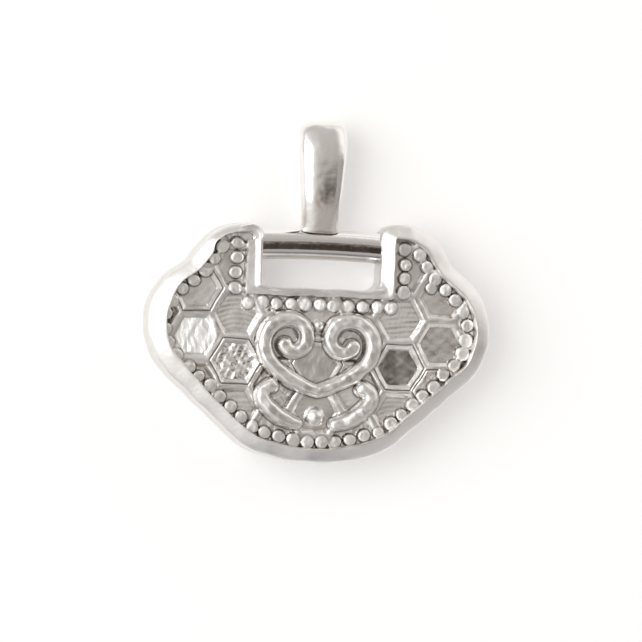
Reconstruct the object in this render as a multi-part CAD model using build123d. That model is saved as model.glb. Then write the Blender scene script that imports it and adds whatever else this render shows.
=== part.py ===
from build123d import *
import os
from math import cos, radians

os.makedirs("parts", exist_ok=True)

# A silver longevity lock pendant that lies on its back. All sizes are in millimetres.
# Shapes are drawn in the plane of the face, X to the right and Y towards the bail, from the
# middle of the honeycomb. Z is the height above the back.

# Levels
BACK_ROUND = 0.35
GROUND_Z = 1.95
RIDGE_Z = 2.25
RIM_Z = 3.0

# Outline of the lock, from its lowest point round the right side to the top of the ear
LOWEST_Y = -7.15
STRAIGHT = None
OUTLINE_STEPS = [
    (11.0, 18),        # flat bottom
    (4.2, 24),         # shoulder
    (STRAIGHT, 5.1),   # slanting lower side
    (4.1, 100),        # side lobe
    (STRAIGHT, 0.85),
    (0.5, -19),        # dip between lobe and ear
    (STRAIGHT, 1.25),
    (2.75, 57),        # ear
]
RIM_WIDTH = 0.9
RIM_ROUND = 0.4

# Window under the crossbar, open at the top between the two ears
WINDOW_HALF = 3.45
WINDOW_FLOOR_Y = 3.0
WINDOW_CORNER = 0.65
EAR_CORNER = 0.9
FRAME_SIDE = 0.9
FRAME_FLOOR = 0.48
FRAME_CORNER = 0.5
FRAME_HEIGHT = 6.0

# Border of beads
BEAD_R = 0.39
BEAD_PITCH = 0.84
BEAD_Z = GROUND_Z + 0.1
BEAD_ROW_INSET = BEAD_R - 0.05
OUTER_BEAD_MIN_X = 5.5
INNER_BEAD_X = 4.92
INNER_BEAD_TOP_Y = 5.45
INNER_BEADS = 4
FLOOR_BEAD_Y = 2.06
FLOOR_BEADS = 11

# Tortoise-shell honeycomb
CELL_PITCH = 2.77
CELL_FLOOR_ACROSS = 2.05
CELL_MOUTH_ACROSS = 2.43
CELL_COLUMNS = 3
CELL_ROWS = 3
FIELD_INSET = 0.8
FIELD_SUNK = 0.3
CELL_FLOOR_Z = GROUND_Z + 0.05

# Raised ruyi cloud: a head whose two lobes curl in at the top, over two wisps and a pearl
STROKE_R = 0.5
STROKE_TOP_Z = 2.9
STROKE_BASE_Z = GROUND_Z - 0.2
HEAD_TIP = (0.0, -2.95)
HEAD_HEADING = 15
HEAD_STEPS = [
    (6.4, 27),         # underside
    (1.75, 48),        # outer flank
    (1.42, 90),        # crown
    (1.1, 90),         # cleft
    (0.78, 90),        # curl
    (0.58, 70),
]
WISP_START = (1.15, -4.85)
WISP_HEADING = 12
WISP_STEPS = [
    (3.3, 40),
    (0.58, 120),
]
LOWER_PEARL_R = 0.62
LOWER_PEARL_Y = -4.45
UPPER_PEARL_R = 0.42
UPPER_PEARL_Y = 0.85

# Crossbar, slightly arched, with its ends in blind sockets in the ears
BAR_R = 0.92
BAR_Z = 1.5
BAR_END_Y = 5.4
BAR_ARCH = 0.12
BAR_SEAT = 0.62
SOCKET_GAP = 0.04

# Bail, a domed strip bent to a tall loop whose two legs join on top of the crossbar
BAIL_TOP_Y = 12.79
BAIL_WIDTH = 2.76
STRIP_CROWN = 0.8
STRIP_EDGE = 0.18
STRIP_FULLNESS = 0.6
EYE_TOP_R = 0.4

# Sections of a leg of the bail from foot to bend: height, width, distance of the inner face
# from the middle of the loop, and thickness at the crown
LEG_SECTIONS = [
    (6.1, 2.15, -0.1, 0.52),
    (7.4, 2.4, 0.3, 0.7),
    (9.0, 2.66, 0.62, STRIP_CROWN),
    (10.4, 2.74, 0.6, STRIP_CROWN),
    (BAIL_TOP_Y - STRIP_CROWN - EYE_TOP_R, BAIL_WIDTH, EYE_TOP_R, STRIP_CROWN),
]

# The origin is the middle of the whole pendant, at the back
MIDDLE_Y = (BAIL_TOP_Y + LOWEST_Y) / 2


def trace(start, heading, steps):
    """Tangent straight runs and arcs, each a (radius, degrees) or (STRAIGHT, length) step."""
    edges = []
    point = Vector(*start)
    for radius, amount in steps:
        direction = Vector(1, 0).rotate(Axis.Z, heading)
        if radius is STRAIGHT:
            edge = Line(point, point + direction * amount)
        else:
            edge = JernArc(point, direction, radius, amount)
            heading += amount
        edges.append(edge)
        point = edge @ 1
    return edges


def mirrored_face(right_edges):
    """Face inside a chain that starts and ends on the middle line and its mirror image."""
    right = Wire([edge.edge() for edge in right_edges])
    left = right.mirror(Plane.YZ)
    return make_face([*right.edges(), *left.edges()])


def whole_face():
    """The lock's outline as if it had no window."""
    edges = trace((0, LOWEST_Y), 0, OUTLINE_STEPS)
    ear_top = edges[-1] @ 1
    edges.append(Line(ear_top, (0, ear_top.Y)))
    return mirrored_face(edges)


def lock_face():
    """The lock's outline with the window let in from the top."""
    edges = trace((0, LOWEST_Y), 0, OUTLINE_STEPS)
    ear_top = edges[-1] @ 1
    window_steps = [
        (STRAIGHT, ear_top.X - EAR_CORNER - WINDOW_HALF),
        (EAR_CORNER, 90),
        (STRAIGHT, ear_top.Y - EAR_CORNER - WINDOW_CORNER - WINDOW_FLOOR_Y),
        (WINDOW_CORNER, -90),
        (STRAIGHT, WINDOW_HALF - WINDOW_CORNER),
    ]
    return mirrored_face(edges + trace(ear_top, 180, window_steps))


def frame_face(margin):
    """The window's frame, grown by margin, up to above the ears."""
    half = WINDOW_HALF + FRAME_SIDE + margin
    floor = WINDOW_FLOOR_Y - FRAME_FLOOR - margin
    block = Pos(0, floor + FRAME_HEIGHT / 2) * Rectangle(2 * half, FRAME_HEIGHT)
    return fillet(block.vertices().group_by(Axis.Y)[0], FRAME_CORNER + margin)


def inside_face(margin):
    """The sunk field inside the rim and outside the frame, drawn in by margin."""
    inner = offset(whole_face(), -RIM_WIDTH - margin, kind=Kind.ARC)
    return inner - frame_face(margin)


def bead_centres():
    """Centres of the outer row, the two inner columns and the row under the window."""
    path = offset(whole_face(), -RIM_WIDTH - BEAD_ROW_INSET, kind=Kind.ARC)
    row = path.faces()[0].outer_wire()
    lowest = row.param_at_point((0, path.bounding_box().min.Y))
    count = round(row.length / BEAD_PITCH)
    centres = []
    for index in range(count):
        point = row.position_at((lowest + (index + 0.5) / count) % 1)
        if abs(point.X) > OUTER_BEAD_MIN_X or point.Y < 0:
            centres.append((point.X, point.Y))
    for side in (-1, 1):
        for index in range(INNER_BEADS):
            centres.append((side * INNER_BEAD_X, INNER_BEAD_TOP_Y - index * BEAD_PITCH))
    for index in range(FLOOR_BEADS):
        centres.append(((index - (FLOOR_BEADS - 1) / 2) * BEAD_PITCH, FLOOR_BEAD_Y))
    return centres


def cell_centres():
    """Centres of the hexagons, column by column."""
    column_step = CELL_PITCH * cos(radians(30))
    centres = []
    for column in range(-CELL_COLUMNS, CELL_COLUMNS + 1):
        shift = CELL_PITCH / 2 if column % 2 == 0 else 0
        for row in range(-CELL_ROWS, CELL_ROWS + 1):
            centres.append((column * column_step, row * CELL_PITCH + shift))
    return centres


def honeycomb():
    """Ridges between hexagonal cells with sloping sides, on a slab sunk in the plate."""
    slab_z = GROUND_Z - FIELD_SUNK
    slab = Pos(0, 0, slab_z) * extrude(inside_face(FIELD_INSET), RIDGE_Z - slab_z)
    floor = RegularPolygon(CELL_FLOOR_ACROSS / 2, 6, major_radius=False)
    mouth = RegularPolygon(CELL_MOUTH_ACROSS / 2, 6, major_radius=False)
    cell = loft([floor, Pos(0, 0, RIDGE_Z - CELL_FLOOR_Z) * mouth])
    return slab - [Pos(x, y, CELL_FLOOR_Z) * cell for x, y in cell_centres()]


def stroke(edges):
    """Raised stroke along tangent edges, round on top and upright below, with round ends."""
    path = Wire([edge.edge() for edge in edges])
    shoulder_z = STROKE_TOP_Z - STROKE_R
    depth = shoulder_z - STROKE_BASE_Z
    section = make_face(
        [
            ThreePointArc((STROKE_R, 0), (0, STROKE_R), (-STROKE_R, 0)),
            Polyline((-STROKE_R, 0), (-STROKE_R, -depth), (STROKE_R, -depth), (STROKE_R, 0)),
        ]
    )
    tangent = path % 0
    across = Plane(path @ 0, x_dir=Vector(0, 0, 1).cross(tangent), z_dir=tangent)
    body = sweep(across * section, path=path)
    upright = Pos(0, 0, -depth / 2) * Cylinder(STROKE_R, depth)
    end = Sphere(STROKE_R) + upright
    return Pos(0, 0, shoulder_z) * (body + [Pos(path @ 0) * end, Pos(path @ 1) * end])


def ruyi_cloud():
    """The ruyi head's two halves, the two wisps and the two pearls."""
    head = stroke(trace(HEAD_TIP, HEAD_HEADING, HEAD_STEPS))
    wisp = stroke(trace(WISP_START, WISP_HEADING, WISP_STEPS))
    lower_pearl = Pos(0, LOWER_PEARL_Y, GROUND_Z) * Sphere(LOWER_PEARL_R)
    upper_pearl = Pos(0, UPPER_PEARL_Y, GROUND_Z) * Sphere(UPPER_PEARL_R)
    half = [head, wisp]
    return half + [mirror(piece, about=Plane.YZ) for piece in half] + [lower_pearl, upper_pearl]


def bar_path(reach):
    """The crossbar's arched axis, to reach beyond the window's two sides."""
    half = WINDOW_HALF + reach
    middle = (0, BAR_END_Y + BAR_ARCH, BAR_Z)
    return ThreePointArc((-half, BAR_END_Y, BAR_Z), middle, (half, BAR_END_Y, BAR_Z))


def bar(radius, reach):
    """Round bar along the arched axis."""
    path = bar_path(reach)
    return sweep(Plane(path @ 0, z_dir=path % 0) * Circle(radius), path=path)


def plate():
    """The lock's plate with rounded edges and the field sunk inside its domed rim."""
    solid = extrude(lock_face(), RIM_Z)
    solid = fillet(solid.faces().sort_by(Axis.Z)[0].edges(), BACK_ROUND)
    outer_edges = [
        edge
        for edge in solid.faces().sort_by(Axis.Z)[-1].edges()
        if abs(edge.center().X) > WINDOW_HALF + EAR_CORNER or edge.center().Y < 0
    ]
    solid = fillet(outer_edges, RIM_ROUND)
    return solid - Pos(0, 0, GROUND_Z) * extrude(inside_face(0), RIM_Z)


def lock_body():
    """The cast lock: plate, honeycomb, cloud and beads, with the bar's sockets in the ears."""
    beads = [Pos(x, y, BEAD_Z) * Sphere(BEAD_R) for x, y in bead_centres()]
    lock = plate() + honeycomb() + ruyi_cloud() + beads
    return lock - bar(BAR_R + SOCKET_GAP, BAR_SEAT + SOCKET_GAP)


def strip_section(y, width, inner_z, crown):
    """Cross-section of the front leg at height y, flat inside and domed outside."""
    half = width / 2
    edge = STRIP_EDGE * crown / STRIP_CROWN
    handle_x = STRIP_FULLNESS * half
    handle_z = (4 * crown - edge) / 3
    dome = Bezier((half, edge), (handle_x, handle_z), (-handle_x, handle_z), (-half, edge))
    outline = [
        Line((-half, 0), (half, 0)),
        Line((half, 0), (half, edge)),
        dome,
        Line((-half, edge), (-half, 0)),
    ]
    return Plane((0, y, BAR_Z + inner_z), x_dir=(1, 0, 0), z_dir=(0, -1, 0)) * make_face(outline)


def bail():
    """Two bowed legs that lean together towards the foot, and the half turn between them."""
    sections = [strip_section(*section) for section in LEG_SECTIONS]
    bend_y = LEG_SECTIONS[-1][0]
    front_leg = loft(sections)
    back_leg = mirror(front_leg, about=Plane((0, 0, BAR_Z)))
    bend = revolve(sections[-1], axis=Axis((0, bend_y, BAR_Z), (-1, 0, 0)), revolution_arc=180)
    return front_leg + [bend, back_leg]


def crossbar_bail():
    """Crossbar with the bail soldered to its top, one solid."""
    return bar(BAR_R, BAR_SEAT) + bail()


for name, solid in (("lock_body", lock_body()), ("crossbar_bail", crossbar_bail())):
    export_step(Pos(0, -MIDDLE_Y, 0) * solid, f"parts/{name}.step")
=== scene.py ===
import math

import bpy
import numpy as np
from mathutils import Matrix, Vector
from mathutils.geometry import delaunay_2d_cdt


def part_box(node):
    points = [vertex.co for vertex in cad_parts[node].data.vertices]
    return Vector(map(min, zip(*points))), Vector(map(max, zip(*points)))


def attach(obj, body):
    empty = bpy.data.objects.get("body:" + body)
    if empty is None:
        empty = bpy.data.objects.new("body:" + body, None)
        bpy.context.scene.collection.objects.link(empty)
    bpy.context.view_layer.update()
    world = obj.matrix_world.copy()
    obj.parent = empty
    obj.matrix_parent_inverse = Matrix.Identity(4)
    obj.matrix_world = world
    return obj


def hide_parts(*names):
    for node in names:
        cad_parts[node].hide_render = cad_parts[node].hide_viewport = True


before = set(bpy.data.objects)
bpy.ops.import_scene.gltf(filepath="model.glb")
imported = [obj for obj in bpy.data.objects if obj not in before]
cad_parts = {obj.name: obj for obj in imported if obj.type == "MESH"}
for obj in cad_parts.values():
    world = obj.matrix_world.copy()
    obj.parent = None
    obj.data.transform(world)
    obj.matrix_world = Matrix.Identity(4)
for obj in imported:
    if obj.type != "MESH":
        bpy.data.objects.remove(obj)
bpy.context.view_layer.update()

# Shapes are worked out in millimetres, X to the right and Y towards the bail, from the middle
# of the honeycomb, with Z above the back. place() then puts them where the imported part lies.
MM = 0.001
# Against divisions by zero, against rounding, and how near each other points are merged
TINY = 1e-6
SLACK = 0.01
MERGE_DISTANCE = 1e-7

# Levels
GROUND_Z = 1.95
RIDGE_Z = 2.25
RIM_Z = 3.0
DOME_BASE_Z = 2.35
BACK_ROUND = 0.35

# Outline, from the lowest point round the right side to the top of the ear: radius and turn in
# degrees of each arc, or the length of a straight run
LOWEST_Y = -7.15
STRAIGHT = None
OUTLINE_STEPS = [
    (11.0, 18),
    (4.2, 24),
    (STRAIGHT, 5.1),
    (4.1, 100),
    (STRAIGHT, 0.85),
    (0.5, -19),
    (STRAIGHT, 1.25),
    (2.75, 57),
]
WINDOW_HALF = 3.45
WINDOW_FLOOR_Y = 3.0
WINDOW_CORNER = 0.65
EAR_CORNER = 0.9
RIM_WIDTH = 0.9
FRAME_SIDE_LEFT = 1.0
FRAME_SIDE_RIGHT = 0.86
FRAME_FLOOR = 0.48
FRAME_CHANGE = 0.8
WIDEST_FRAME = 9
RIGHT_EAR_SHARE = 0.97

# Casting differences: the left ear is a little lower and its rim thinner, and the rim of the
# left lobe is wider. Each pair says where the difference starts and where it is full.
LEFT_EAR_DROP = 0.28
DROP_ACROSS = (2.6, 4.2)
DROP_UP = (2.6, 6.8)
LEFT_EAR_THIN = 0.36
THIN_UP = (5.3, 6.2)
LEFT_LOBE_EXTRA = 0.24
EXTRA_UP = (4.2, 2.0)

# Rim and window frame: share of their width, and height, from the outer wall to the foot
# inside. The rim rounds off outwards, and the frame steps down to a ledge on its inner side,
# but beside the right ear it rises all the way from the window.
PROFILE_STEPS = 25
PROFILE_RISE = 0.35
RELIEF_SHARE = 0.9
RIM_PROFILE = [
    (0.0, 2.35),
    (0.02, 2.47),
    (0.07, 2.58),
    (0.20, 2.69),
    (0.40, 2.80),
    (0.60, 2.89),
    (0.76, 2.955),
    (0.87, 2.995),
    (0.92, 3.0),
    (0.96, 2.96),
    (0.985, 2.75),
    (1.0, GROUND_Z),
]
FRAME_PROFILE = [
    (0.0, 2.35),
    (0.02, 2.58),
    (0.06, 2.83),
    (0.11, 2.96),
    (0.17, 3.0),
    (0.25, 2.99),
    (0.34, 2.94),
    (0.43, 2.885),
    (0.49, 2.86),
    (0.55, 2.85),
    (0.92, 2.83),
    (0.95, 2.78),
    (0.975, 2.52),
    (1.0, GROUND_Z),
]
RIGHT_FRAME_PROFILE = [
    (0.0, 2.35),
    (0.03, 2.43),
    (0.20, 2.555),
    (0.40, 2.70),
    (0.60, 2.845),
    (0.77, 2.96),
    (0.85, 2.995),
    (0.90, 3.0),
    (0.94, 2.93),
    (0.98, 2.6),
    (1.0, GROUND_Z),
]
RIGHT_FRAME_UP = (WINDOW_FLOOR_Y - 0.1, WINDOW_FLOOR_Y + 0.7)

# Border of beads, cast a little uneven
BEAD_SEED = 7
BEAD_R = 0.42
BEAD_RISE = 0.55
BEAD_FLATNESS = 5.5
BEAD_LEAN = 0.07
BEAD_SHIFT = 0.025
BEAD_SPREAD = 0.045
BEAD_PITCH = 0.84
BEAD_Z = GROUND_Z + 0.1
BEAD_ROW_INSET = RIM_WIDTH + 0.34
OUTER_BEAD_MIN_X = 5.5
INNER_BEADS = 4
INNER_BEAD_X = 4.92
INNER_BEAD_TOP_Y = 5.45
FLOOR_BEADS = 11
FLOOR_BEAD_Y = 2.06
FLOOR_BEAD_LEAN = 0.16
# Blobs that join two beads, how far the beads of the left lobe run in under the rim, and how
# far those of the lower right lie off their row
MERGED_BEADS = [(-6.66, 3.84), (6.55, 3.3)]
MERGED_SHARE = 0.9
LOBE_X = 7.6
LOBE_HALF_Y = 2.4
UNDER_RIM = 0.16
LOWER_RIGHT_FROM = (3, -2)
LOWER_RIGHT_SHIFT = (0.1, -0.12)

# Honeycomb
CELL_PITCH = 2.77
RIDGE_TOP_HALF = 0.16
RIDGE_FOOT_HALF = 0.36
RIDGE_CAMBER = 0.02
RIDGE_ROUNDING = 0.3
GROOVE_HALF = 0.07
GROOVE_DEPTH = 0.08
GROOVED_CELLS = [(-2, -1), (2, -1), (3, -1), (0, -1), (-3, 1)]

# How far the floors of the cells that show lean to the right and upwards, in degrees, and their
# finish. Cells that aren't listed draw both from a seed of their own.
CELL_FLOOR_Z = GROUND_Z + 0.05
CELL_FLOORS = {
    (-3, 0): (-10.5, 3.0, "streaks"),
    (-2, 0): (-3.0, 2.5, "arcs"),
    (-2, -1): (-4.0, 1.5, "hammered"),
    (2, 0): (-2.5, 3.5, "brushed"),
    (2, -1): (0.5, -3.2, "smooth"),
    (3, 0): (1.0, 1.0, "smooth"),
}
FINISHES = ("streaks", "arcs", "hammered", "brushed", "smooth")
CELL_SEED = 1000
CELL_SEED_STEP = 37
CELL_LEAN = 2.5
STREAK_STRETCH = 0.3
FINE_STREAK_STRETCH = 0.14
BRUSH_STRETCH = 0.12
ARC_CENTRE_Y = -2.5
ARC_PITCH = 0.27
ARC_HEIGHT = 0.004
ARC_DARK = 0.22
SPECK_LEVEL = 0.9
DARKEST_SPECK = 0.8

# Ruyi cloud: each stroke swells in the middle and ends in a bulb, and its top dips at the ends.
# Its steps are given like the outline's, and the left half mirrors the right one.
STROKE_R = 0.5
STROKE_TOP_Z = 2.9
STROKE_DIP = 0.06
STROKE_FLATNESS = 3.5
STROKE_SHOULDER = 0.47
STROKE_THINNEST = 0.86
STROKE_WIDEST = 1.06
STROKE_SWELL = 0.22
SWELL_SHAPE = 0.8
STROKE_BULB = 0.16
BULB_LENGTH = 0.05
HEAD_TIP = (0.0, -2.95)
HEAD_HEADING = 15
HEAD_STEPS = [
    (6.4, 27),
    (1.75, 48),
    (1.42, 90),
    (1.1, 90),
    (0.78, 90),
    (0.58, 70),
]
WISP_START = (1.15, -4.85)
WISP_HEADING = 12
WISP_STEPS = [
    (3.3, 40),
    (0.58, 120),
]
# Pearls on the middle line: height of their middle, and radius
PEARLS = [(-4.45, 0.62), (0.85, 0.42)]

# Small fillets where raised forms meet what lies under them
FILLET = 0.04
BEAD_FILLET = 0.03

# Crossbar
BAR_R = 0.92
BAR_Z = 1.5
BAR_END_Y = 5.4
BAR_ARCH = 0.12
BAR_SEAT = 0.62
BAR_FLAT_LEAN = -3.0
BAR_FLAT_DROP = 0.04
BAR_FLAT_CROWN = 0.12
BAR_FLAT_FILLET = 0.02
SOCKET_GAP = 0.04

# Bail: a domed strip, flared at its foot, with a narrower back leg
BAIL_TOP_Y = 12.77
BAIL_FOOT_Y = 6.2
BAIL_WIDTH = 2.84
BAIL_TAPER = 1.25
BAIL_SHIFT = -0.12
BAIL_FOOT_WIDTH = 2.12
FLARE = 0.22
FLARE_HEIGHT = 0.15
BACK_LEG_NARROWER = 0.36
BACK_LEG_FADE = (0.3, -0.5)
LEG_Z = 0.3
LEG_GAP = 0.02
STRIP_CROWN = 0.8
FOOT_CROWN = 0.6
CROWN_GROWTH = 0.4
STRIP_EDGE = 0.1
STRIP_BEVEL = 0.06
STRIP_FLATNESS = 3.5
CREST_SHARE = 0.3
# Side view of the bail's outer face: height in the drawing plane, and how far it lies in front
# of the bar's axis
BAIL_SIDE = [
    (6.2, 0.74),
    (6.5, 0.88),
    (7.0, 1.07),
    (7.6, 1.24),
    (8.2, 1.345),
    (8.8, 1.395),
    (9.5, 1.428),
    (10.1, 1.435),
    (10.6, 1.42),
    (11.1, 1.34),
    (11.6, 1.21),
    (12.2, 0.95),
    (12.55, 0.66),
    (12.72, 0.36),
]

# Unevenness: height and length of the waves, their seed, and for some how many are added up
WAVE_COUNT = 9
SHORTEST_WAVE = 0.6
WAVE_SPREAD = 0.9
CAST_WAVES_ACROSS = (0.022, 1.5, 61)
CAST_WAVES_UP = (0.022, 1.5, 62)
RIM_WAVES = (0.012, 2.2, 31)
RIDGE_WAVES = (0.012, 0.9, 12)
STROKE_WAVES = (0.018, 0.8, 13)
BEAD_WAVES = (0.006, 0.35, 14)
STREAK_BEND = (0.1, 1.1, 27)
STREAK_WAVES = (0.004, 0.45, 28)
FINE_STREAK_WAVES = (0.003, 0.17, 21, 14)
ARC_WAVES = (0.004, 0.9, 22)
HAMMER_WAVES = (0.014, 1.0, 30)
FINE_HAMMER_WAVES = (0.014, 0.34, 23, 24)
BRUSH_WAVES = (0.006, 0.26, 24)
SMOOTH_WAVES = (0.006, 0.9, 25)
STRIP_WAVES = (0.003, 0.55, 41)
FINE_STRIP_WAVES = (0.0008, 0.2, 42)
BACK_WAVES_AWAY = 3
SPECK_WAVES = (1.0, 0.26, 55, 24)
STAIN_WAVES = (0.45, 0.4, 51, 12)

# Mesh fineness
OUTLINE_STEP = 0.065
ROW_STEP = 0.02
STROKE_STEP = 0.04
FIELD_STEP = 0.058
FIELD_MARGIN = 0.6
BACK_STEP = 0.7
WALL_STEPS = 5
BAR_RINGS = 90
SOCKET_RINGS = 60
AROUND_BAR = 120
BAIL_RINGS = 150
AROUND_STRIP = 64
UNDER_STRIP = 16
CURVE_STEPS = 20
SMOOTH_ANGLE = 40
NEAREST_CHUNK = 3000

# Creases darkened by tarnish and by painted shade: half width, how dark each kind is, the
# heights between which they fade, and how far they reach in under the rim
CREASE = 0.045
BEAD_CREASE = 0.9
FLOOR_BEAD_CREASE = 0.5
STROKE_CREASE = 0.9
GROOVE_CREASE = 0.8
# The line along the foot of the honeycomb's ridges is painted shade
RIDGE_FOOT_SHADE = 0.35
RIM_CREASE = 0.6
CREASE_FADE = (GROUND_Z + 0.42, GROUND_Z + 0.2)
RIM_REACH = 4 * CREASE
# Outer wall and back darkened with painted shade, which greys the wall as a reflection would
WALL_PAINTED_SHADE = 0.2
WALL_INSET_FADE = (0.2, 0.05)
WALL_HEIGHT_FADE = (2.6, 2.35)
BACK_BELOW_Z = GROUND_Z - 0.2

# Roughness
CAST_ROUGH = 0.34
SMOOTH_ROUGH = 0.19
RIM_ROUGH = 0.42
FRAME_ROUGH = 0.38
BEAD_ROUGH = 0.42
CELL_GLOSS = {
    (-3, 0): 0.22,
    (-2, 0): 0.25,
    (-2, -1): 0.22,
    (2, 0): 0.26,
    (2, -1): 0.21,
    (3, 0): 0.24,
}
CELL_FLOOR_RANGE = 0.12
BAR_ROUGH = 0.1
BAIL_ROUGH = 0.23
BAIL_ROUGH_UP = (BAIL_FOOT_Y, BAIL_FOOT_Y + 0.3)

# Brownish specks on the bail's face, a painted shadow along its foot and the film above it
STAIN_PLACE = (-0.2, 8.25)
STAIN_HALF = (0.5, 0.5)
STAIN_BASE = 0.55
STAIN_DARK = 0.65
FOOT_SHADOW_Y = 0.05
FOOT_SHADOW_HALF = 0.05
FOOT_SHADOW_ENDS = (0.46, 0.3)
FOOT_SHADOW_DARK = 0.9
FILM_TOP = (8.7, 7.7)
FILM_FOOT = (BAIL_FOOT_Y, BAIL_FOOT_Y + 0.4)
FILM_DARK = 0.16

# Silver, its grain in metres, and the floor
CLEAN_SILVER = (0.93, 0.915, 0.895)
# Dark colours: the lock's tarnish and painted shade, then the bail's stains and the painted shadow
# at its foot
TARNISH_AND_SHADE = (0.16, 0.12, 0.095)
WARM_STAIN_AND_SHADE = (0.42, 0.3, 0.23)
CAST_GRAIN = 0.000014
CAST_GRAIN_SIZE = 0.00022
POLISH_GRAIN = 0.000016
POLISH_GRAIN_SIZE = 0.0003
GRAIN_DETAIL = 3.0
LEAST_GRAIN = 0.3
BLOTCH_SIZE = 0.0011
BLOTCH_DETAIL = 4.0
BLOTCH_RANGE = (0.3, 0.7)
GLOSS_RANGE = (0.75, 1.25)
FLOOR_HALF = 0.4
FLOOR_COLOUR = (0.9, 0.895, 0.89)
FLOOR_ROUGH = 0.9
FLOOR_GLOW = 0.28

# Camera: the photograph's frame, where the honeycomb's middle lies in it, and the angles in
# degrees from which the pendant is seen
PHOTO_SIZE = 642
PIXELS_PER_MM = 17.25
ORIGIN_PIXEL = (318.2, 340.4)
ROLL = 2.3
LEFT_ANGLE = 9.0
DISTANCE = 0.3
FACE_Z = 2.2
SENSOR_WIDTH = 36
CLIP_START = 0.01

# Patches of the studio that the metal mirrors: angle to the right and upwards from straight
# above, half width, half height and softness of their edges in degrees, then the colour
PATCHES = [
    (0, 78, 80, 34, 40, 30, (0.53, 0.51, 0.495)),
    (62, 54, 30, 32, 30, 30, (1.1, 1.07, 1.04)),
    (-59, -8, 46, 56, 52, 40, (0.92, 0.92, 0.905)),
    (72, -30, 30, 52, 30, 30, (0.34, 0.32, 0.305)),
    (140, 0, 30, 70, 15, 30, (0.88, 0.87, 0.86)),
    (10, -84, 56, 29, 30, 18, (0.19, 0.205, 0.245)),
    (56, -62, 20, 22, 30, 24, (0.60, 0.595, 0.59)),
    (15, -7, 11, 7, 8, 7, (0.035, 0.024, 0.018)),
]
SKY = (0.45, 0.415, 0.39)
BACKDROP = (0.85, 0.845, 0.84)
KEY_PLACE = (-0.32, 0.08, 0.3)
KEY_SIZE = 0.4
KEY_POWER = 0.8


def place(points):
    """Millimetres in the drawing plane to metres in the part's frame."""
    low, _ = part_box("lock_body")
    shift = Vector((0, low.y / MM - LOWEST_Y, low.z / MM))
    return (np.asarray(points, float) + np.array(shift)) * MM


def smooth_shading(mesh):
    """Smooth shading, but with sharp edges where faces meet at a large angle."""
    mesh.shade_smooth()
    mesh.set_sharp_from_angle(angle=math.radians(SMOOTH_ANGLE))


def make_mesh(name, points, faces):
    """Object whose mesh has these points, in millimetres, and faces."""
    mesh = bpy.data.meshes.new(name)
    mesh.from_pydata(place(points).tolist(), [], faces)
    mesh.validate()
    mesh.update()
    smooth_shading(mesh)
    piece = bpy.data.objects.new(name, mesh)
    bpy.context.scene.collection.objects.link(piece)
    return piece


def trace(start, heading, steps, spacing):
    """Points and directions along tangent straight runs and arcs, evenly spaced in each."""
    x, y = start
    points = []
    angles = []
    for radius, amount in steps:
        length = amount if radius is STRAIGHT else abs(math.radians(amount)) * radius
        count = max(2, round(length / spacing))
        s = np.arange(count) / count * length
        turn = math.radians(heading)
        if radius is STRAIGHT:
            points.append(np.column_stack([x + s * math.cos(turn), y + s * math.sin(turn)]))
            angles.append(np.full(count, turn))
            x += length * math.cos(turn)
            y += length * math.sin(turn)
            continue
        sign = 1 if amount > 0 else -1
        a = turn + sign * s / radius
        end = turn + math.radians(amount)
        px = x + sign * radius * (np.sin(a) - math.sin(turn))
        py = y - sign * radius * (np.cos(a) - math.cos(turn))
        points.append(np.column_stack([px, py]))
        angles.append(a)
        x += sign * radius * (math.sin(end) - math.sin(turn))
        y -= sign * radius * (math.cos(end) - math.cos(turn))
        heading += amount
    points.append(np.array([[x, y]]))
    angles.append(np.array([math.radians(heading)]))
    return np.vstack(points), np.concatenate(angles)


def ear_top():
    """Where the ear's curve ends at its top."""
    points, _ = trace((0, LOWEST_Y), 0, OUTLINE_STEPS, 1.0)
    return points[-1]


def lock_outline():
    """Closed outline of the lock, anticlockwise, with the normals that point into the metal."""
    top_x, top_y = ear_top()
    window_steps = [
        (STRAIGHT, top_x - EAR_CORNER - WINDOW_HALF),
        (EAR_CORNER, 90),
        (STRAIGHT, top_y - EAR_CORNER - WINDOW_CORNER - WINDOW_FLOOR_Y),
        (WINDOW_CORNER, -90),
        (STRAIGHT, WINDOW_HALF - WINDOW_CORNER),
    ]
    right, angle = trace((0, LOWEST_Y), 0, OUTLINE_STEPS + window_steps, OUTLINE_STEP)
    normal = np.column_stack([-np.sin(angle), np.cos(angle)])
    flip = np.array([-1, 1])
    points = np.vstack([right, (right * flip)[-2:0:-1]])
    normals = np.vstack([normal, (normal * flip)[-2:0:-1]])
    return points, normals


def rim_widths(points, normals):
    """Width of the rim or of the window's frame at each point of the outline."""
    x = np.abs(points[:, 0])
    y = points[:, 1]
    nx = np.abs(normals[:, 0])
    ny = -normals[:, 1]
    left = points[:, 0] < 0
    inside = (x < WINDOW_HALF + EAR_CORNER + SLACK) & (y > 0)
    frame_side = np.where(left, FRAME_SIDE_LEFT, FRAME_SIDE_RIGHT)
    side = (WINDOW_HALF + frame_side - x) / np.maximum(nx, TINY)
    floor = (y - WINDOW_FLOOR_Y + FRAME_FLOOR) / np.maximum(ny, TINY)
    frame_width = np.minimum(side, np.where(ny > SLACK, floor, WIDEST_FRAME))
    width = np.where(inside, frame_width, RIM_WIDTH)
    lobe = np.where(left & ~inside, step(*EXTRA_UP, np.abs(y)), 0)
    thin = np.where(left & ~inside, step(*THIN_UP, y), 0)
    width = width + LEFT_LOBE_EXTRA * lobe - LEFT_EAR_THIN * thin
    corner_y = ear_top()[1] - EAR_CORNER
    corner_width = np.where(left, EAR_CORNER - LEFT_EAR_THIN, RIGHT_EAR_SHARE * EAR_CORNER)
    return np.where(inside & (y > corner_y), corner_width, width)


def step(start, end, value):
    """0 before start, 1 after end, and a smooth change between them."""
    share = np.clip((value - start) / (end - start), 0, 1)
    return share ** 2 * (3 - 2 * share)


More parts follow.
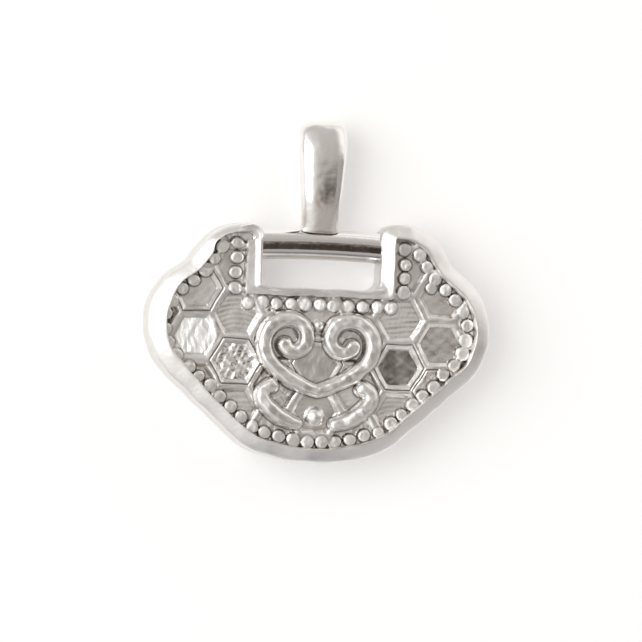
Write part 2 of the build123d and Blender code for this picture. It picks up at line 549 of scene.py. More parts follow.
def waves(x, y, height, length, seed, count=WAVE_COUNT):
    """Smooth seeded unevenness of about this height, whose waves are about this long."""
    draw = np.random.default_rng(seed)
    total = np.zeros_like(x)
    for _ in range(count):
        angle = draw.random() * 2 * math.pi
        wave = 2 * math.pi / (length * (SHORTEST_WAVE + WAVE_SPREAD * draw.random()))
        phase = draw.random() * 2 * math.pi
        total += np.sin(wave * (x * math.cos(angle) + y * math.sin(angle)) + phase)
    return height * (total / math.sqrt(count))


def nearest(points, targets):
    """Distance to, and index of, the nearest target of each point."""
    distance = np.empty(len(points))
    index = np.empty(len(points), int)
    for start in range(0, len(points), NEAREST_CHUNK):
        end = start + NEAREST_CHUNK
        block = points[start:end]
        square = ((block[:, None, :] - targets[None, :, :]) ** 2).sum(2)
        best = square.argmin(1)
        index[start:end] = best
        distance[start:end] = np.sqrt(square[np.arange(len(block)), best])
    return distance, index


def bead_table():
    """Centre and radius of each bead of the border, a little uneven as cast."""
    path, angle = trace((0, LOWEST_Y), 0, OUTLINE_STEPS, ROW_STEP)
    normal = np.column_stack([-np.sin(angle), np.cos(angle)])
    row = path + normal * BEAD_ROW_INSET
    row = np.vstack([row, [[0, row[-1, 1]]]])
    travelled = np.concatenate([[0], np.cumsum(np.hypot(*np.diff(row, axis=0).T))])
    count = round(2 * travelled[-1] / BEAD_PITCH)
    pitch = 2 * travelled[-1] / count
    at = (np.arange(count // 2) + 0.5) * pitch
    right = np.column_stack([np.interp(at, travelled, row[:, i]) for i in (0, 1)])
    right = right[(right[:, 0] > OUTER_BEAD_MIN_X) | (right[:, 1] < 0)]
    column_y = INNER_BEAD_TOP_Y - BEAD_PITCH * np.arange(INNER_BEADS)
    column = np.column_stack([np.full(INNER_BEADS, INNER_BEAD_X), column_y])
    right = np.vstack([right, column])
    floor_x = (np.arange(FLOOR_BEADS) - (FLOOR_BEADS - 1) / 2) * BEAD_PITCH
    floor = np.column_stack([floor_x, np.full(FLOOR_BEADS, FLOOR_BEAD_Y)])
    centres = np.vstack([right, right * [-1, 1], floor])
    draw = np.random.default_rng(BEAD_SEED)
    centres = centres + draw.normal(0, BEAD_SHIFT, centres.shape)
    radii = BEAD_R * (1 + draw.normal(0, BEAD_SPREAD, len(centres)))
    centres = np.vstack([centres, MERGED_BEADS])
    radii = np.concatenate([radii, np.full(len(MERGED_BEADS), MERGED_SHARE * BEAD_R)])
    under_rim = (centres[:, 0] < -LOBE_X) & (np.abs(centres[:, 1]) < LOBE_HALF_Y)
    centres[under_rim, 0] -= UNDER_RIM
    lower_right = (centres[:, 0] > LOWER_RIGHT_FROM[0]) & (centres[:, 1] < LOWER_RIGHT_FROM[1])
    centres[lower_right] += LOWER_RIGHT_SHIFT
    centres[:, 1] += ear_drop(centres)
    return centres, radii


def in_floor_row(beads):
    """Which beads are in the row under the window."""
    return np.abs(beads[:, 1] - FLOOR_BEAD_Y) < BEAD_R


def ear_drop(points):
    """How far the casting lies lower than drawn, at the top of the left ear."""
    return LEFT_EAR_DROP * step(*DROP_ACROSS, -points[:, 0]) * step(*DROP_UP, points[:, 1])


def cast_shift(points):
    """How far the uneven casting lies from the drawing, across and up."""
    x = points[:, 0]
    y = points[:, 1]
    return np.column_stack([
        waves(x, y, *CAST_WAVES_ACROSS),
        waves(x, y, *CAST_WAVES_UP) - ear_drop(points),
    ])


def stroke_table():
    """Centre line, half width and top of each sample of the cloud's strokes."""
    rows = []
    for start, heading, steps in (
        (HEAD_TIP, HEAD_HEADING, HEAD_STEPS),
        (WISP_START, WISP_HEADING, WISP_STEPS),
    ):
        line, _ = trace(start, heading, steps, STROKE_STEP)
        t = np.linspace(0, 1, len(line))
        bulb = STROKE_BULB * np.exp(-((1 - t) / BULB_LENGTH) ** 2)
        swell = STROKE_THINNEST + STROKE_SWELL * np.sin(math.pi * t) ** SWELL_SHAPE + bulb
        width = STROKE_R * np.minimum(swell, STROKE_WIDEST)
        top = STROKE_TOP_Z - STROKE_DIP * np.cos(2 * math.pi * t)
        rows.append(np.column_stack([line, width, top]))
    rows = np.vstack(rows)
    return np.vstack([rows, rows * [-1, 1, 1, 1]])


def cell_place(points):
    """Offset from the nearest cell's middle, and the cell's column and row."""
    column_step = CELL_PITCH * math.cos(math.radians(30))
    best = None
    for column_shift in (-1, 0, 1):
        column = np.round(points[:, 0] / column_step) + column_shift
        half = np.where(column % 2 == 0, 0.5, 0)
        row = np.round(points[:, 1] / CELL_PITCH - half)
        centre = np.column_stack([column * column_step, (row + half) * CELL_PITCH])
        offset = points - centre
        square = (offset ** 2).sum(1)
        if best is None:
            best = [square, offset, column, row]
            continue
        closer = square < best[0]
        best = [
            np.where(closer, square, best[0]),
            np.where(closer[:, None], offset, best[1]),
            np.where(closer, column, best[2]),
            np.where(closer, row, best[3]),
        ]
    return best[1:]


def hexagon(offset):
    """Distance from a cell's middle towards its nearest side, and that side's direction."""
    sides = np.radians(np.arange(30, 360, 60))
    normals = np.column_stack([np.cos(sides), np.sin(sides)])
    towards = offset @ normals.T
    side = towards.argmax(1)
    return towards[np.arange(len(offset)), side], normals[side]


def arc_rings(x, y):
    """Wave between -1 and 1 across the fine arcs scratched in some cells."""
    return np.sin(2 * math.pi * np.hypot(x, y - ARC_CENTRE_Y) / ARC_PITCH)


def finish_height(finish, x, y):
    """Small unevenness of a cell's floor."""
    if finish == "streaks":
        bent = x + waves(x, y, *STREAK_BEND)
        fine = waves(bent, FINE_STREAK_STRETCH * y, *FINE_STREAK_WAVES)
        return fine + waves(bent, STREAK_STRETCH * y, *STREAK_WAVES)
    if finish == "arcs":
        return ARC_HEIGHT * arc_rings(x, y) + waves(x, y, *ARC_WAVES)
    if finish == "hammered":
        return waves(x, y, *FINE_HAMMER_WAVES) + waves(x, y, *HAMMER_WAVES)
    if finish == "brushed":
        return waves(BRUSH_STRETCH * x, y, *BRUSH_WAVES)
    return waves(x, y, *SMOOTH_WAVES)


def finish_dark(finish, x, y):
    """How dark the marks of a cell's finish are."""
    if finish == "hammered":
        return np.clip(waves(x, y, *SPECK_WAVES) - SPECK_LEVEL, 0, DARKEST_SPECK)
    if finish == "arcs":
        return ARC_DARK * np.clip(arc_rings(x, y), 0, 1)
    return np.zeros_like(x)


def cell_floors(offset, columns, rows):
    """Height of the floor of each point's cell."""
    height = np.zeros(len(columns))
    cells = set(zip(columns.astype(int).tolist(), rows.astype(int).tolist()))
    for column, row in sorted(cells):
        draw = np.random.default_rng(CELL_SEED + CELL_SEED_STEP * column + row)
        drawn = (*draw.normal(0, CELL_LEAN, 2), draw.choice(FINISHES))
        lean_x, lean_y, finish = CELL_FLOORS.get((column, row), drawn)
        here = (columns == column) & (rows == row)
        x, y = offset[here].T
        slope = math.tan(math.radians(lean_x)) * x + math.tan(math.radians(lean_y)) * y
        height[here] = CELL_FLOOR_Z - slope + finish_height(finish, x, y)
    return height


def groove(column, row, from_line):
    """1 in the middle of the fine line that runs along the ridges of some cells, 0 off it."""
    grooved = np.zeros(len(column), bool)
    for cell in GROOVED_CELLS:
        grooved |= (column == cell[0]) & (row == cell[1])
    return np.where(grooved, np.clip(1 - np.abs(from_line - GROOVE_HALF) / GROOVE_HALF, 0, 1), 0)


def smooth_max(a, b, blend):
    """The larger of two heights, with a small fillet where they meet."""
    share = np.clip(0.5 + 0.5 * (a - b) / blend, 0, 1)
    return b + (a - b) * share + blend * share * (1 - share) * 0.5


def honeycomb(points):
    """Height of the ridges and of the cells' floors."""
    x, y = points.T
    offset, column, row = cell_place(points)
    apothem, _ = hexagon(offset)
    from_line = CELL_PITCH / 2 - apothem
    floor = cell_floors(offset, column, row)
    rise = np.clip((RIDGE_FOOT_HALF - from_line) / (RIDGE_FOOT_HALF - RIDGE_TOP_HALF), 0, 1)
    rounded = rise ** 2 * (3 - 2 * rise)
    rise = (1 - RIDGE_ROUNDING) * rise + RIDGE_ROUNDING * rounded
    camber = RIDGE_CAMBER * (from_line / RIDGE_TOP_HALF).clip(0, 1) ** 2
    ridge = RIDGE_Z + waves(x, y, *RIDGE_WAVES) - camber
    return floor + (ridge - floor) * rise - GROOVE_DEPTH * groove(column, row, from_line)


def pearl(points, centre_y, radius):
    """Height of a half ball on the middle line, 0 beside it."""
    x, y = points.T
    square = radius ** 2 - x ** 2 - (y - centre_y) ** 2
    return np.where(square > 0, GROUND_Z + np.sqrt(np.maximum(square, 0)), 0)


def cloud(points, strokes):
    """Height of the cloud's strokes, 0 beside them."""
    x, y = points.T
    distance, index = nearest(points, strokes[:, :2])
    share = np.clip(distance / strokes[index, 2], 0, 1)
    dome = (1 - share ** STROKE_FLATNESS) ** STROKE_SHOULDER
    crown = GROUND_Z + (strokes[index, 3] - GROUND_Z) * dome
    crown += waves(x, y, *STROKE_WAVES)
    return np.where(distance < strokes[index, 2], crown, 0)


def bead_border(points, beads, bead_radii):
    """Height of the beads, 0 beside them."""
    x, y = points.T
    distance, index = nearest(points, beads)
    share = np.clip(distance / bead_radii[index], 0, 1)
    dome = BEAD_Z + BEAD_RISE * bead_radii[index] * (1 - share ** BEAD_FLATNESS) ** 0.5
    leans = np.random.default_rng(BEAD_SEED).normal(0, BEAD_LEAN, beads.shape)
    leans[in_floor_row(beads), 0] += FLOOR_BEAD_LEAN
    dome += (leans[index] * (points - beads[index])).sum(1) + waves(x, y, *BEAD_WAVES)
    return np.where(distance < bead_radii[index], dome, 0)


def relief(points, beads, bead_radii, strokes):
    """Height of the decorated face inside the rim."""
    height = honeycomb(points)
    for centre_y, radius in PEARLS:
        height = smooth_max(height, pearl(points, centre_y, radius), FILLET)
    height = smooth_max(height, cloud(points, strokes), FILLET)
    return smooth_max(height, bead_border(points, beads, bead_radii), BEAD_FILLET)


def snapped(points, beads, bead_radii, strokes):
    """Points near the edge of a ridge, bead or stroke, moved on to it."""
    reach = 0.5 * FIELD_STEP
    moved = points.copy()
    offset, _, _ = cell_place(points)
    apothem, normal = hexagon(offset)
    for half in (GROOVE_HALF, RIDGE_TOP_HALF, RIDGE_FOOT_HALF):
        gap = CELL_PITCH / 2 - half - apothem
        near = np.abs(gap) < reach
        moved[near] += (normal * gap[:, None])[near]
    for centres, radii in ((strokes[:, :2], strokes[:, 2]), (beads, bead_radii)):
        distance, index = nearest(points, centres)
        gap = radii[index] - distance
        near = np.abs(gap) < reach
        away = (points - centres[index]) / np.maximum(distance, TINY)[:, None]
        moved[near] = (points + away * gap[:, None])[near]
    return moved


def field_points(outline, normals, spacing):
    """Triangular grid of points inside an outline."""
    low = outline.min(0)
    high = outline.max(0)
    rows = np.arange(low[1], high[1], spacing * math.sqrt(0.75))
    columns = np.arange(low[0], high[0], spacing)
    grid = []
    for i, y in enumerate(rows):
        x = columns + (i % 2) * spacing / 2
        grid.append(np.column_stack([x, np.full(len(x), y)]))
    grid = np.vstack(grid)
    distance, index = nearest(grid, outline)
    inward = ((grid - outline[index]) * normals[index]).sum(1)
    return grid[(inward > 0) & (distance > FIELD_MARGIN * spacing)]


def fill(outline, inner):
    """Triangles over an outline and the points inside it, as indices of both stacked."""
    points = np.vstack([outline, inner])
    loop = list(range(len(outline)))
    result = delaunay_2d_cdt([Vector(p) for p in points.tolist()], [], [loop], 1, MERGE_DISTANCE)
    first = [ids[0] for ids in result[3]]
    return [[first[i] for i in face] for face in result[2]]


def along(points, count, rise=1.0):
    """Points evenly spaced along a polyline, where rise says how much its climb counts."""
    points = np.array(points)
    across, up = np.diff(points, axis=0).T
    travelled = np.concatenate([[0], np.cumsum(np.hypot(across, rise * up))])
    at = np.linspace(0, travelled[-1], count)
    return np.column_stack([np.interp(at, travelled, points[:, i]) for i in (0, 1)])


def frame_share(points):
    """1 round the window, 0 along the rim, with a soft change over the ears' tops."""
    x = np.abs(points[:, 0])
    end_x = ear_top()[0] + FRAME_CHANGE / 2
    change = np.clip((end_x - x) / FRAME_CHANGE, 0, 1)
    return np.where(points[:, 1] > 0, change, 0) * (x < end_x)


def wall_layers(outline, normals):
    """Rings of points round the back's edge and up the outer wall."""
    rows = []
    for angle in np.radians([0, 22.5, 45, 67.5, 90]):
        rows.append((BACK_ROUND * (1 - math.sin(angle)), BACK_ROUND * (1 - math.cos(angle))))
    for z in np.linspace(BACK_ROUND, DOME_BASE_Z, WALL_STEPS)[1:-1]:
        rows.append((0, z))
    layers = []
    for inset, z in rows:
        layers.append(np.column_stack([outline + normals * inset, np.full(len(outline), z)]))
    return layers


def rim_layers(outline, normals, beads, bead_radii, strokes):
    """Rings of points over the rim and the window's frame, to their foot inside."""
    widths = rim_widths(outline, normals)
    framed = frame_share(outline)
    right = framed * step(*RIGHT_FRAME_UP, outline[:, 1]) * (outline[:, 0] > 0)
    profiles = (RIM_PROFILE, FRAME_PROFILE, RIGHT_FRAME_PROFILE)
    rows = [along(profile, PROFILE_STEPS, PROFILE_RISE) for profile in profiles]
    layers = []
    for rim_row, frame_row, right_row in zip(*rows):
        to_frame = np.outer(framed, frame_row - rim_row)
        row = rim_row + to_frame + np.outer(right, right_row - frame_row)
        share = row[:, 0]
        plan = outline + normals * (share * widths)[:, None]
        level = row[:, 1] + waves(plan[:, 0], plan[:, 1], *RIM_WAVES)
        inside = share > RELIEF_SHARE
        face = relief(plan[inside], beads, bead_radii, strokes)
        level[inside] = np.maximum(level[inside], face)
        layers.append(np.column_stack([plan, np.minimum(level, RIM_Z)]))
    return layers


def band_faces(layer_count, count):
    """Quads between neighbouring rings of count points each."""
    faces = []
    for layer in range(layer_count - 1):
        below = layer * count
        above = below + count
        for i in range(count):
            j = (i + 1) % count
            faces.append((below + i, below + j, above + j, above + i))
    return faces


def lock_mesh():
    """The cast lock: back, side wall, domed rim and the relief inside it, one closed mesh."""
    outline, normals = lock_outline()
    beads, bead_radii = bead_table()
    strokes = stroke_table()
    layers = wall_layers(outline, normals)
    layers += rim_layers(outline, normals, beads, bead_radii, strokes)
    count = len(outline)
    faces = band_faces(len(layers), count)
    foot = layers[-1][:, :2]
    inner = field_points(foot, normals, FIELD_STEP)
    inner = snapped(inner, beads, bead_radii, strokes)
    field_base = (len(layers) - 1) * count
    faces += [[field_base + i for i in face] for face in fill(foot, inner)]
    top = np.column_stack([inner, relief(inner, beads, bead_radii, strokes)])
    back = layers[0][:, :2]
    back_inner = field_points(back, normals, BACK_STEP)
    bottom = np.column_stack([back_inner, np.zeros(len(back_inner))])
    points = np.vstack(layers + [top, bottom])
    back_base = len(points) - len(bottom)

    def back_index(i):
        return i if i < count else back_base + i - count

    faces += [[back_index(i) for i in reversed(face)] for face in fill(back, back_inner)]
    points[:, :2] += cast_shift(points)
    low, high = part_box("lock_body")
    points[:, 0] = points[:, 0].clip(low.x / MM, high.x / MM)
    return make_mesh("lock", points, faces)


def bar_centre(x):
    """Height in the drawing plane of the arched bar's axis."""
    half = WINDOW_HALF + BAR_SEAT
    return BAR_END_Y + BAR_ARCH * (1 - (x / half) ** 2)


def bar_rings(radius, reach, count, flat):
    """Rings of a round bar along the arched axis, with its front worn flat by this much."""
    half = WINDOW_HALF + reach
    angle = np.arange(AROUND_BAR) / AROUND_BAR * 2 * math.pi
    lean = math.radians(BAR_FLAT_LEAN)
    across = radius * np.sin(angle - lean)
    out = radius * np.cos(angle - lean)
    if flat > 0:
        cap = radius - flat - BAR_FLAT_CROWN * across ** 2
        out = -smooth_max(-out, -cap, BAR_FLAT_FILLET)
    up = across * math.cos(lean) + out * math.sin(lean)
    z = BAR_Z + out * math.cos(lean) - across * math.sin(lean)
    rings = []
    for x in np.linspace(-half, half, count):
        rings.append(np.column_stack([np.full(AROUND_BAR, x), bar_centre(x) + up, z]))
    return rings


def tube_mesh(name, rings):
    """Closed tube through rings of points, with a flat cap on each end."""
    around = len(rings[0])
    last = (len(rings) - 1) * around
    faces = band_faces(len(rings), around)
    faces.append(list(reversed(range(around))))
    faces.append([last + i for i in range(around)])
    return make_mesh(name, np.vstack(rings), faces)


def apply_boolean(piece, other, operation):
    """Joins other to piece, or cuts it out, and removes other."""
    modifier = piece.modifiers.new("boolean", "BOOLEAN")
    modifier.operation = operation
    modifier.solver = "MANIFOLD"
    modifier.object = other
    bpy.context.view_layer.update()
    depsgraph = bpy.context.evaluated_depsgraph_get()
    mesh = bpy.data.meshes.new_from_object(piece.evaluated_get(depsgraph))
    mesh.materials.clear()
    smooth_shading(mesh)
    piece.modifiers.clear()
    piece.data = mesh
    bpy.data.objects.remove(other)


def strip_section(width, crown):
    """Closed D section of the bail: across, and outwards from the inner face."""
    half = width / 2
    across = -np.cos(np.linspace(0, math.pi, AROUND_STRIP))
    edge = STRIP_EDGE * crown / STRIP_CROWN
    from_crest = across - CREST_SHARE
    from_crest /= np.where(from_crest < 0, 1 + CREST_SHARE, 1 - CREST_SHARE)
    dome = np.sqrt(np.maximum(1 - np.abs(from_crest) ** STRIP_FLATNESS, 0))
    outer = np.column_stack([half * across, edge + (crown - edge) * dome])
    inner_across = np.linspace(half - STRIP_BEVEL, -half + STRIP_BEVEL, UNDER_STRIP)
    inner = np.column_stack([inner_across, np.zeros(UNDER_STRIP)])
    return np.vstack([outer, inner])


def smooth_curve(points, count):
    """Smooth curve through points, evenly spaced along its length."""
    points = np.array(points, float)
    ends = np.vstack([2 * points[0] - points[1], points, 2 * points[-1] - points[-2]])
    fine = []
    for i in range(1, len(ends) - 2):
        a, b, c, d = ends[i - 1:i + 3]
        for t in np.linspace(0, 1, CURVE_STEPS, endpoint=False):
            fine.append(0.5 * (2 * b + (c - a) * t + (2 * a - 5 * b + 4 * c - d) * t ** 2
                               + (3 * b - a - 3 * c + d) * t ** 3))
    fine.append(points[-1])
    return along(fine, count)


def bail_width(y, z):
    """Width of the bail's strip at a height in front of or behind its middle."""
    rise = np.clip((y - BAIL_FOOT_Y) / (BAIL_TOP_Y - BAIL_FOOT_Y), 0, 1)
    width = BAIL_FOOT_WIDTH + (BAIL_WIDTH - BAIL_FOOT_WIDTH) * min(1, BAIL_TAPER * rise)
    width += FLARE * math.exp(-((y - BAIL_FOOT_Y) / FLARE_HEIGHT) ** 2)
    return width - BACK_LEG_NARROWER * step(*BACK_LEG_FADE, z)


def bail_mesh():
    """Domed strip from the crossbar up the front, over the top and down the back."""
    back = [(y, -z) for y, z in reversed(BAIL_SIDE)]
    path = smooth_curve(BAIL_SIDE + [(BAIL_TOP_Y, 0.0)] + back, BAIL_RINGS)
    direction = np.gradient(path, axis=0)
    direction /= np.hypot(*direction.T)[:, None]
    inward = np.column_stack([direction[:, 1], -direction[:, 0]])
    rings = []
    for (y, z), (in_y, in_z) in zip(path, inward):
        crown = min(STRIP_CROWN, FOOT_CROWN + CROWN_GROWTH * abs(y - BAIL_FOOT_Y))
        section = strip_section(bail_width(y, z), crown)
        x = section[:, 0]
        travel = np.full(len(x), y + BACK_WAVES_AWAY * z)
        depth = crown - section[:, 1]
        depth += waves(x, travel, *STRIP_WAVES)
        depth += waves(x, travel, *FINE_STRIP_WAVES)
        ring_z = z + in_z * depth
        if z > LEG_Z:
            ring_z = np.maximum(ring_z, LEG_GAP)
        if z < -LEG_Z:
            ring_z = np.minimum(ring_z, -LEG_GAP)
        ring = np.column_stack([x + BAIL_SHIFT, y + in_y * depth, BAR_Z + ring_z])
        rings.append(ring[::-1])
    return tube_mesh("bail_part", rings)


def crossbar_mesh():
    """Crossbar with the bail joined to its top."""
    bar = tube_mesh("crossbar_with_bail", bar_rings(BAR_R, BAR_SEAT, BAR_RINGS, BAR_FLAT_DROP))
    apply_boolean(bar, bail_mesh(), "UNION")
    return bar


def cut_sockets(piece):
    """Blind sockets for the bar in both ears."""
    rings = bar_rings(BAR_R + SOCKET_GAP, BAR_SEAT + SOCKET_GAP, SOCKET_RINGS, 0)
    apply_boolean(piece, tube_mesh("cutter", rings), "DIFFERENCE")


def add_attribute(piece, name, values):
    """Stores a number at each point of a piece, for its material."""
    attribute = piece.data.attributes.new(name, "FLOAT", "POINT")
    attribute.data.foreach_set("value", np.asarray(values, float))


def mesh_points(piece):
    """Points of a piece in the drawing plane's millimetres."""
    flat = np.empty(len(piece.data.vertices) * 3)
    piece.data.vertices.foreach_get("co", flat)
    return flat.reshape(-1, 3) / MM - place([[0, 0, 0]])[0] / MM


def crease(away):
    """1 on an edge, and soon 0 on both sides of it."""
    return np.exp(-(away / CREASE) ** 2)


def edge_creases(drawn):
    """Tarnish and painted shade in the creases round the beads and strokes."""
    beads, bead_radii = bead_table()
    strokes = stroke_table()
    dark = np.zeros(len(drawn))
    for centres, radii, amount in (
        (beads, bead_radii, np.where(in_floor_row(beads), FLOOR_BEAD_CREASE, BEAD_CREASE)),
        (strokes[:, :2], strokes[:, 2], np.full(len(strokes), STROKE_CREASE)),
    ):
        distance, index = nearest(drawn, centres)
        dark = np.maximum(dark, amount[index] * crease(distance - radii[index]))
    return dark


def cell_creases(drawn):
    """Tarnish and painted shade in fine lines, painted shade at the ridges' feet, and finish
    marks.
    """
    offset, column, row = cell_place(drawn)
    apothem, _ = hexagon(offset)
    from_line = CELL_PITCH / 2 - apothem
    dark = GROOVE_CREASE * groove(column, row, from_line)
    on_floor = from_line > RIDGE_FOOT_HALF
    for (cell_column, cell_row), (_, _, finish) in CELL_FLOORS.items():
        here = on_floor & (column == cell_column) & (row == cell_row)
        dark[here] = np.maximum(dark[here], finish_dark(finish, *offset[here].T))
    return np.maximum(dark, RIDGE_FOOT_SHADE * crease(from_line - RIDGE_FOOT_HALF))


def creases(points):
    """Darkness, 0 to 1, of tarnish and painted shade in creases, and painted shade on wall and
    back.
    """
    drawn = points[:, :2] - cast_shift(points)
    z = points[:, 2]
    outline, normals = lock_outline()
    distance, index = nearest(drawn, outline)
    from_rim = distance - rim_widths(outline, normals)[index]
    dark = np.maximum(edge_creases(drawn), cell_creases(drawn))
    # Deeper in the relief the tarnish and painted shade are darker, and the rim's foot gets them
    # too
    dark = step(*CREASE_FADE, z) * np.maximum(dark, RIM_CREASE * crease(from_rim))
    dark = np.where(from_rim > -RIM_REACH, dark, 0)
    # Painted shade on the outer wall below the rim's dome, and on the whole back
    wall_shade = WALL_PAINTED_SHADE * step(*WALL_INSET_FADE, distance) * step(*WALL_HEIGHT_FADE, z)
    return np.where(z > BACK_BELOW_Z, np.maximum(dark, wall_shade), WALL_PAINTED_SHADE)


def glossiness(points):
    """Roughness of the cast silver at each point."""
    drawn = points[:, :2] - cast_shift(points)
    offset, column, row = cell_place(drawn)
    apothem, _ = hexagon(offset)
    rough = np.full(len(points), CAST_ROUGH)
    floor = apothem < CELL_PITCH / 2 - RIDGE_FOOT_HALF
    floor &= np.abs(points[:, 2] - CELL_FLOOR_Z) < CELL_FLOOR_RANGE
    for (cell_column, cell_row), value in CELL_GLOSS.items():
        rough[floor & (column == cell_column) & (row == cell_row)] = value
    beads, bead_radii = bead_table()
    distance, index = nearest(drawn, beads)
    rough[distance < bead_radii[index]] = BEAD_ROUGH
    outline, normals = lock_outline()
    distance, index = nearest(drawn, outline)
    on_rim = distance < rim_widths(outline, normals)[index]
    framed = frame_share(outline)[index]
    return np.where(on_rim, RIM_ROUGH + (FRAME_ROUGH - RIM_ROUGH) * framed, rough)


def polish_roughness(points):
    """Roughness of the crossbar and of the hand-polished bail above it."""
    return BAR_ROUGH + (BAIL_ROUGH - BAR_ROUGH) * step(*BAIL_ROUGH_UP, points[:, 1])


def stains_and_foot_shadow(points):
    """Brownish specks on the bail's face, a painted shadow along its foot and a film above it."""
    x, y, z = points.T
    front = z > BAR_Z
    near_x = (x - STAIN_PLACE[0]) / STAIN_HALF[0]
    near_y = (y - STAIN_PLACE[1]) / STAIN_HALF[1]
    specks = np.clip(STAIN_BASE + waves(x, y, *STAIN_WAVES), 0, 1)
    stain = specks * np.exp(-(near_x ** 2 + near_y ** 2)) * front
    from_middle = np.abs(x - BAIL_SHIFT) / BAIL_FOOT_WIDTH
    # Painted shadow in a thin line along the front of the bail's foot, over the bar
    foot_shadow = np.exp(-((y - BAIL_FOOT_Y - FOOT_SHADOW_Y) / FOOT_SHADOW_HALF) ** 2)
    foot_shadow = foot_shadow * step(*FOOT_SHADOW_ENDS, from_middle) * front
    film = step(*FILM_TOP, y) * step(*FILM_FOOT, y)
    return np.clip(STAIN_DARK * stain + FOOT_SHADOW_DARK * foot_shadow + FILM_DARK * film, 0, 1)


def add_node(tree, kind, **settings):
    """New node, with each setting given to its socket or else property of that name."""
    node = tree.nodes.new(kind)
    for key, value in settings.items():
        if key in node.inputs:
            node.inputs[key].default_value = value
        else:
            setattr(node, key, value)
    return node


def map_range(tree, value, from_range, to_range, **settings):
    """Output of a node that maps one range of a value to another."""
    node = add_node(tree, "ShaderNodeMapRange", **settings)
    names = ("From Min", "From Max", "To Min", "To Max")
    for name, number in zip(names, (*from_range, *to_range)):
        node.inputs[name].default_value = number
    tree.links.new(value, node.inputs["Value"])
    return node.outputs["Result"]


def new_material(name):
    """Material, with its node tree and shader."""
    material = bpy.data.materials.new(name)
    material.use_nodes = True
    tree = material.node_tree
    return material, tree, tree.nodes["Principled BSDF"]


def silver(name, stain_and_shade_colour, grain, grain_size):
    """Silver whose gloss, and whose tarnish, stains and painted shade, come from the mesh, with a
    fine grain.
    """
    material, tree, shader = new_material(name)
    link = tree.links.new
    shader.inputs["Metallic"].default_value = 1.0
    where = add_node(tree, "ShaderNodeTexCoord").outputs["Object"]
    stored = add_node(tree, "ShaderNodeAttribute", attribute_name="rough").outputs["Fac"]
    blotch = add_node(tree, "ShaderNodeTexNoise", Scale=1.0 / BLOTCH_SIZE, Detail=BLOTCH_DETAIL)
    link(where, blotch.inputs["Vector"])
    rough = add_node(tree, "ShaderNodeMath", operation="MULTIPLY")
    link(map_range(tree, blotch.outputs["Fac"], BLOTCH_RANGE, GLOSS_RANGE), rough.inputs[0])
    link(stored, rough.inputs[1])
    link(rough.outputs[0], shader.inputs["Roughness"])
    # Darkens the colour towards the tarnish, stains and painted shade stored in the mesh
    dark = add_node(tree, "ShaderNodeAttribute", attribute_name="crease")
    tint = add_node(tree, "ShaderNodeMix", data_type="RGBA")
    tint.inputs["A"].default_value = (*CLEAN_SILVER, 1)
    tint.inputs["B"].default_value = (*stain_and_shade_colour, 1)
    link(dark.outputs["Fac"], tint.inputs["Factor"])
    link(tint.outputs["Result"], shader.inputs["Base Color"])
    fine = add_node(tree, "ShaderNodeTexNoise", Scale=1.0 / grain_size, Detail=GRAIN_DETAIL)
    link(where, fine.inputs["Vector"])
    bump = add_node(tree, "ShaderNodeBump", Distance=grain)
    strength = map_range(tree, stored, (SMOOTH_ROUGH, CAST_ROUGH), (LEAST_GRAIN, 1.0))
    link(strength, bump.inputs["Strength"])
    link(fine.outputs["Fac"], bump.inputs["Height"])
    link(bump.outputs["Normal"], shader.inputs["Normal"])
    return material


def add_floor():
    """Plain pale floor."""
    mesh = bpy.data.meshes.new("floor")
    corners = [(-1, -1), (1, -1), (1, 1), (-1, 1)]
    mesh.from_pydata([(FLOOR_HALF * x, FLOOR_HALF * y, 0) for x, y in corners], [], [(0, 1, 2, 3)])
    piece = bpy.data.objects.new("floor", mesh)
    bpy.context.scene.collection.objects.link(piece)
    material, _, shader = new_material("pale_floor")
    shader.inputs["Base Color"].default_value = (*FLOOR_COLOUR, 1)
    shader.inputs["Roughness"].default_value = FLOOR_ROUGH
    shader.inputs["Emission Color"].default_value = (1, 1, 1, 1)
    shader.inputs["Emission Strength"].default_value = FLOOR_GLOW
    mesh.materials.append(material)


def add_camera():
    """Camera above the pendant, slightly to its left."""
    data = bpy.data.cameras.new("camera")
    item = bpy.data.objects.new("camera", data)
    bpy.context.scene.collection.objects.link(item)
    bpy.context.scene.camera = item
    left = math.radians(LEFT_ANGLE)
    backwards = Vector((-math.sin(left), 0, math.cos(left)))
    roll = math.radians(ROLL)
    image_up = Vector((-math.sin(roll), math.cos(roll), 0))
    right = image_up.cross(backwards).normalized()
    image_up = backwards.cross(right)
    dx = (PHOTO_SIZE / 2 - ORIGIN_PIXEL[0]) / PIXELS_PER_MM
    dy = (ORIGIN_PIXEL[1] - PHOTO_SIZE / 2) / PIXELS_PER_MM
    centre = Vector(place([[0, 0, FACE_Z]])[0]) + (right * dx + image_up * dy) * MM
    position = centre + backwards * DISTANCE
    turn = Matrix((right, image_up, backwards)).transposed()
    item.matrix_world = Matrix.Translation(position) @ turn.to_4x4()
    data.sensor_width = SENSOR_WIDTH
    data.lens = data.sensor_width * DISTANCE / (PHOTO_SIZE / PIXELS_PER_MM * MM)
    data.clip_start = CLIP_START


def patch_mask(tree, angle, middle, half, soft):
    """1 where an angle is inside middle +- half, with a soft edge."""
    away = add_node(tree, "ShaderNodeMath", operation="SUBTRACT")
    away.inputs[1].default_value = math.radians(middle)
    tree.links.new(angle, away.inputs[0])
    size = add_node(tree, "ShaderNodeMath", operation="ABSOLUTE")
    tree.links.new(away.outputs[0], size.inputs[0])
    edge = (math.radians(half + soft / 2), math.radians(half - soft / 2))
    return map_range(tree, size.outputs[0], edge, (0, 1), interpolation_type="SMOOTHSTEP")


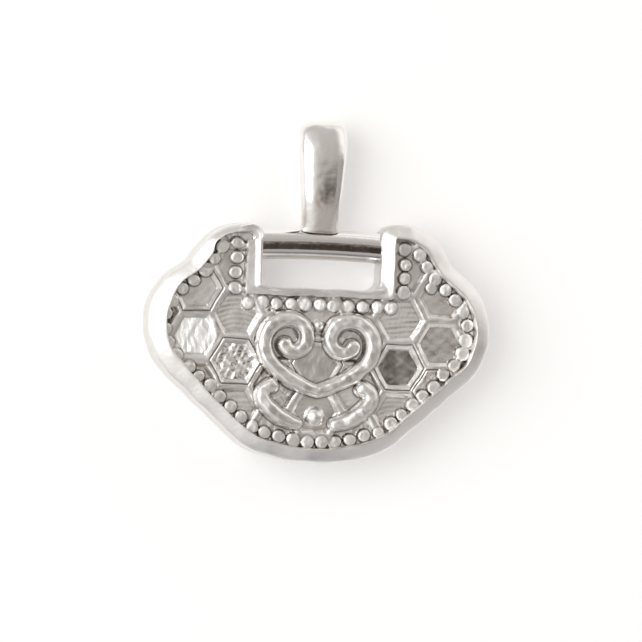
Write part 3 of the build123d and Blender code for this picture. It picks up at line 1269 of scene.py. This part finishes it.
def mirrored_colour(tree):
    """Colour of the studio in each direction, as the metal mirrors it."""
    where = add_node(tree, "ShaderNodeTexCoord")
    split = add_node(tree, "ShaderNodeSeparateXYZ")
    tree.links.new(where.outputs["Generated"], split.inputs[0])
    angles = []
    for axis in ("X", "Y"):
        angle = add_node(tree, "ShaderNodeMath", operation="ARCTAN2")
        tree.links.new(split.outputs[axis], angle.inputs[0])
        tree.links.new(split.outputs["Z"], angle.inputs[1])
        angles.append(angle.outputs[0])
    colour = None
    for x, y, half_x, half_y, soft_x, soft_y, paint in PATCHES:
        both = add_node(tree, "ShaderNodeMath", operation="MULTIPLY")
        tree.links.new(patch_mask(tree, angles[0], x, half_x, soft_x), both.inputs[0])
        tree.links.new(patch_mask(tree, angles[1], y, half_y, soft_y), both.inputs[1])
        mix = add_node(tree, "ShaderNodeMix", data_type="RGBA")
        mix.inputs["A"].default_value = (*SKY, 1)
        mix.inputs["B"].default_value = (*paint, 1)
        tree.links.new(both.outputs[0], mix.inputs["Factor"])
        if colour is not None:
            tree.links.new(colour, mix.inputs["A"])
        colour = mix.outputs["Result"]
    return colour


def add_studio():
    """Soft studio round the pendant; the camera itself sees only a pale backdrop."""
    world = bpy.data.worlds.new("studio")
    bpy.context.scene.world = world
    world.use_nodes = True
    tree = world.node_tree
    seen = add_node(tree, "ShaderNodeLightPath")
    choose = add_node(tree, "ShaderNodeMix", data_type="RGBA")
    choose.inputs["B"].default_value = (*BACKDROP, 1)
    tree.links.new(seen.outputs["Is Camera Ray"], choose.inputs["Factor"])
    tree.links.new(mirrored_colour(tree), choose.inputs["A"])
    tree.links.new(choose.outputs["Result"], tree.nodes["Background"].inputs["Color"])
    bpy.context.scene.view_settings.view_transform = "Standard"


def add_key_light():
    """Large square lamp from the left."""
    data = bpy.data.lights.new("key", "AREA")
    data.shape = "SQUARE"
    data.size = KEY_SIZE
    data.energy = KEY_POWER
    item = bpy.data.objects.new("key", data)
    bpy.context.scene.collection.objects.link(item)
    item.location = KEY_PLACE
    item.rotation_euler = Vector(KEY_PLACE).to_track_quat("Z", "Y").to_euler()


add_camera()
add_studio()
add_key_light()
add_floor()

lock = lock_mesh()
cut_sockets(lock)
lock.data.materials.append(silver("cast_finish", TARNISH_AND_SHADE, CAST_GRAIN, CAST_GRAIN_SIZE))
surface = mesh_points(lock)
# Tarnish and painted shade in the creases, and painted shade on the wall and the back
add_attribute(lock, "crease", creases(surface))
add_attribute(lock, "rough", glossiness(surface))
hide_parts("lock_body")
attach(lock, "root")

crossbar = crossbar_mesh()
surface = mesh_points(crossbar)
add_attribute(crossbar, "rough", polish_roughness(surface))
# Stains on the bail, and the painted shadow along its foot
add_attribute(crossbar, "crease", stains_and_foot_shadow(surface))
crossbar.data.materials.append(silver("polish", WARM_STAIN_AND_SHADE, POLISH_GRAIN, POLISH_GRAIN_SIZE))
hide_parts("crossbar_bail")
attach(crossbar, "root")
